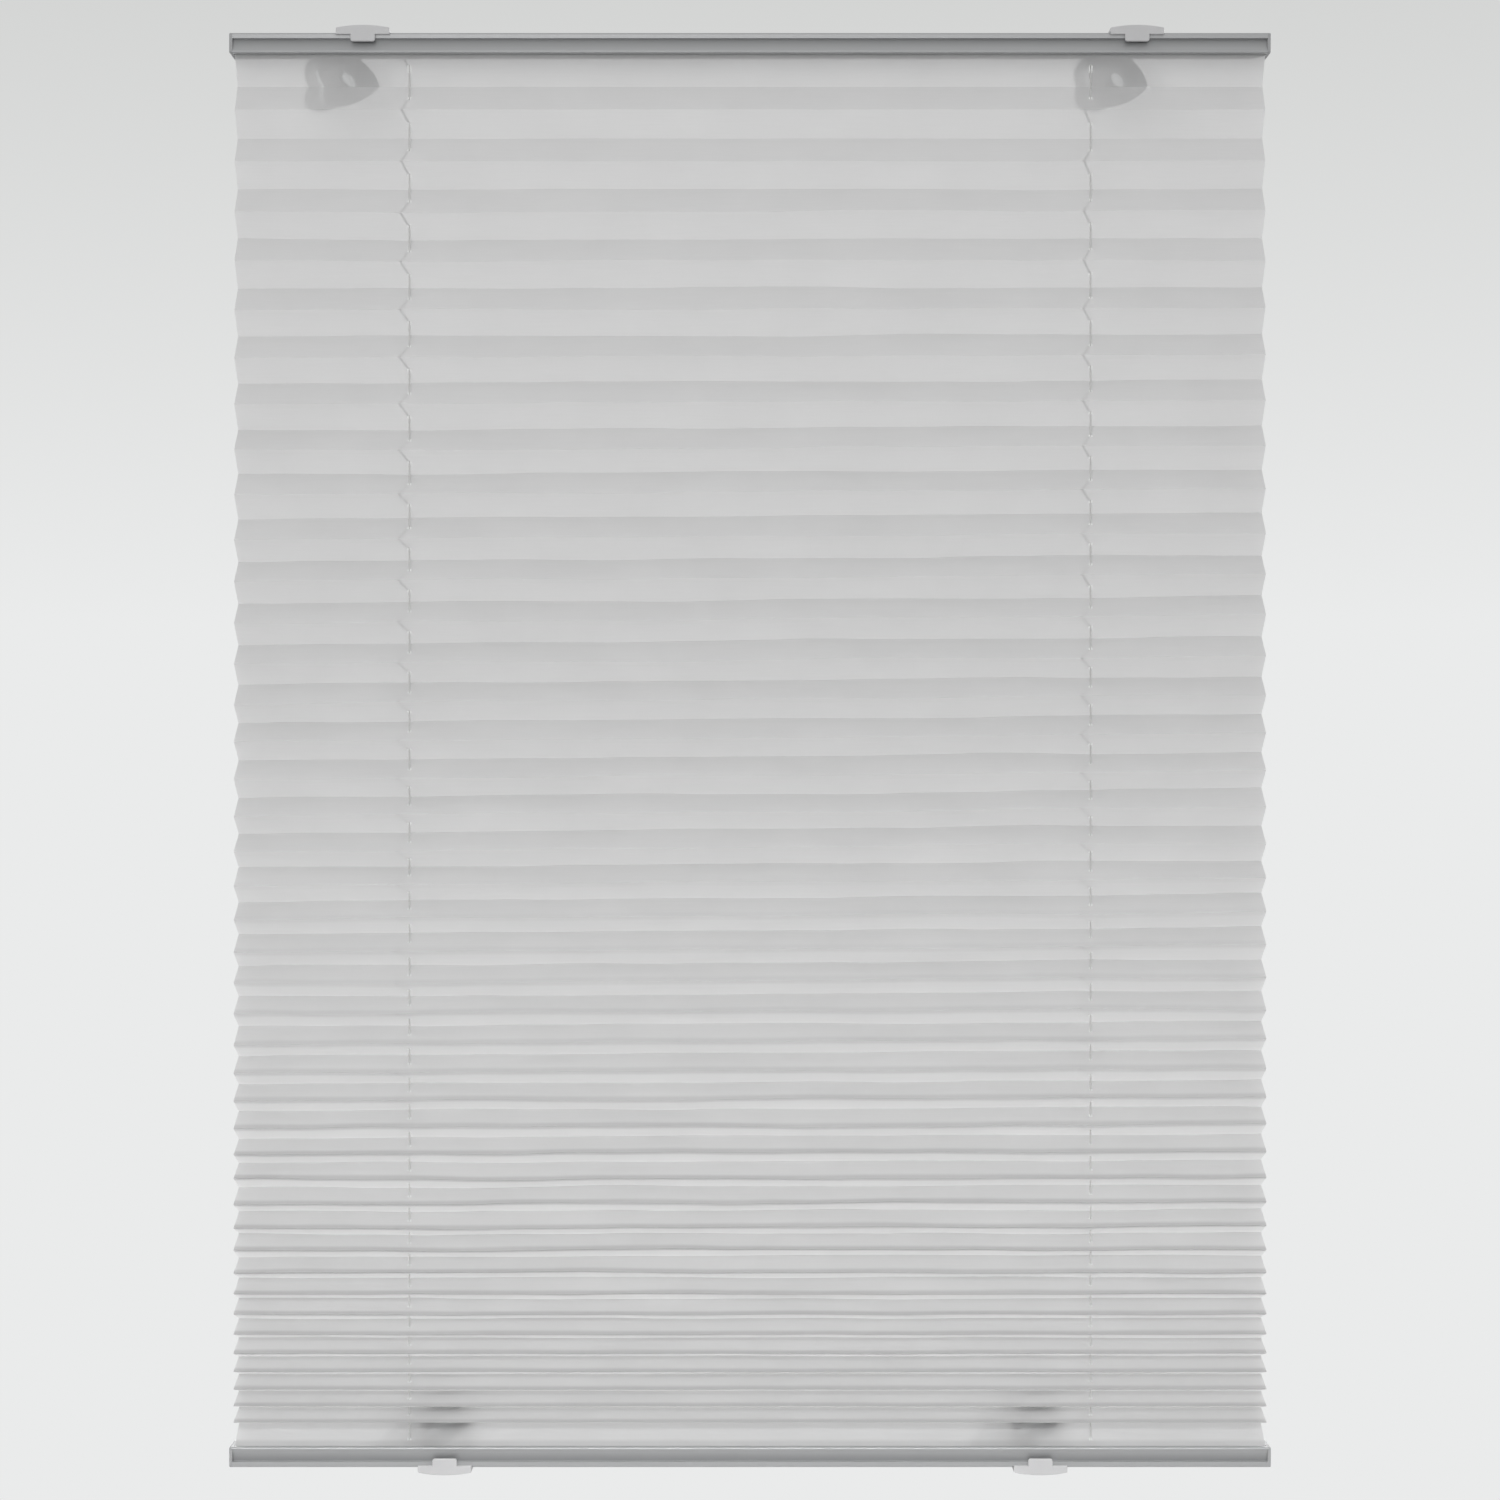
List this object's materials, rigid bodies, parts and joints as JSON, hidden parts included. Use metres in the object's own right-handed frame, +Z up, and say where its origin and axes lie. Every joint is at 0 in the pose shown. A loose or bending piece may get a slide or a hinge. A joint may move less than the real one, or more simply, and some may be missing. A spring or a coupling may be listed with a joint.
{
  "type": "pleated blind",
  "caption": "Pleated window blind: folded fabric between an upper and a lower rail that slide on tension cords, with clip holders and suction cups for the window pane.",
  "frame": {"origin": "on the window pane, at the middle of the blind between the rails' outer faces and between the rails' ends", "axes": "+X to the right as seen from the room, +Y from the room into the pane, +Z up"},
  "size_m": [0.7, 0.0369, 0.9736],
  "materials": {
    "rail_aluminium": "satin grey powder coat",
    "cap_plastic": "satin",
    "strip_plastic": "plain",
    "guide_plastic": "plain",
    "holder_plastic": "fine satin",
    "cup_pvc": "clear gloss",
    "bead_plastic": "plain",
    "cord_polyester": "braided",
    "pleat_polyester": "fine woven, light passes through"
  },
  "bodies": {
    "fixings": {"top_holder_left": "holder_plastic", "top_suction_cup_left": "cup_pvc", "top_cord_bead_left": "bead_plastic", "top_holder_right": "holder_plastic", "top_suction_cup_right": "cup_pvc", "top_cord_bead_right": "bead_plastic", "bottom_holder_left": "holder_plastic", "bottom_suction_cup_left": "cup_pvc", "bottom_cord_bead_left": "bead_plastic", "bottom_holder_right": "holder_plastic", "bottom_suction_cup_right": "cup_pvc", "bottom_cord_bead_right": "bead_plastic", "cord_left": "cord_polyester", "cord_right": "cord_polyester", "pleated_fabric": "pleat_polyester"},
    "top_rail_body": {"top_rail": "rail_aluminium", "top_end_cap_left": "cap_plastic", "top_end_cap_right": "cap_plastic", "top_fabric_strip": "strip_plastic", "top_cord_guide_left": "guide_plastic", "top_cord_guide_right": "guide_plastic"},
    "bottom_rail_body": {"bottom_rail": "rail_aluminium", "bottom_end_cap_left": "cap_plastic", "bottom_end_cap_right": "cap_plastic", "bottom_fabric_strip": "strip_plastic", "bottom_cord_guide_left": "guide_plastic", "bottom_cord_guide_right": "guide_plastic"}
  },
  "joints": [
    {"name": "top_rail_slide", "type": "slide", "parent": "fixings", "child": "top_rail_body", "axis": [0, 0, -1], "range_m": [0, 0.44], "deforming": ["pleated_fabric", "cord_left", "cord_right"]},
    {"name": "bottom_rail_slide", "type": "slide", "parent": "fixings", "child": "bottom_rail_body", "axis": [0, 0, 1], "range_m": [0, 0.44], "deforming": ["pleated_fabric", "cord_left", "cord_right"]}
  ]
}
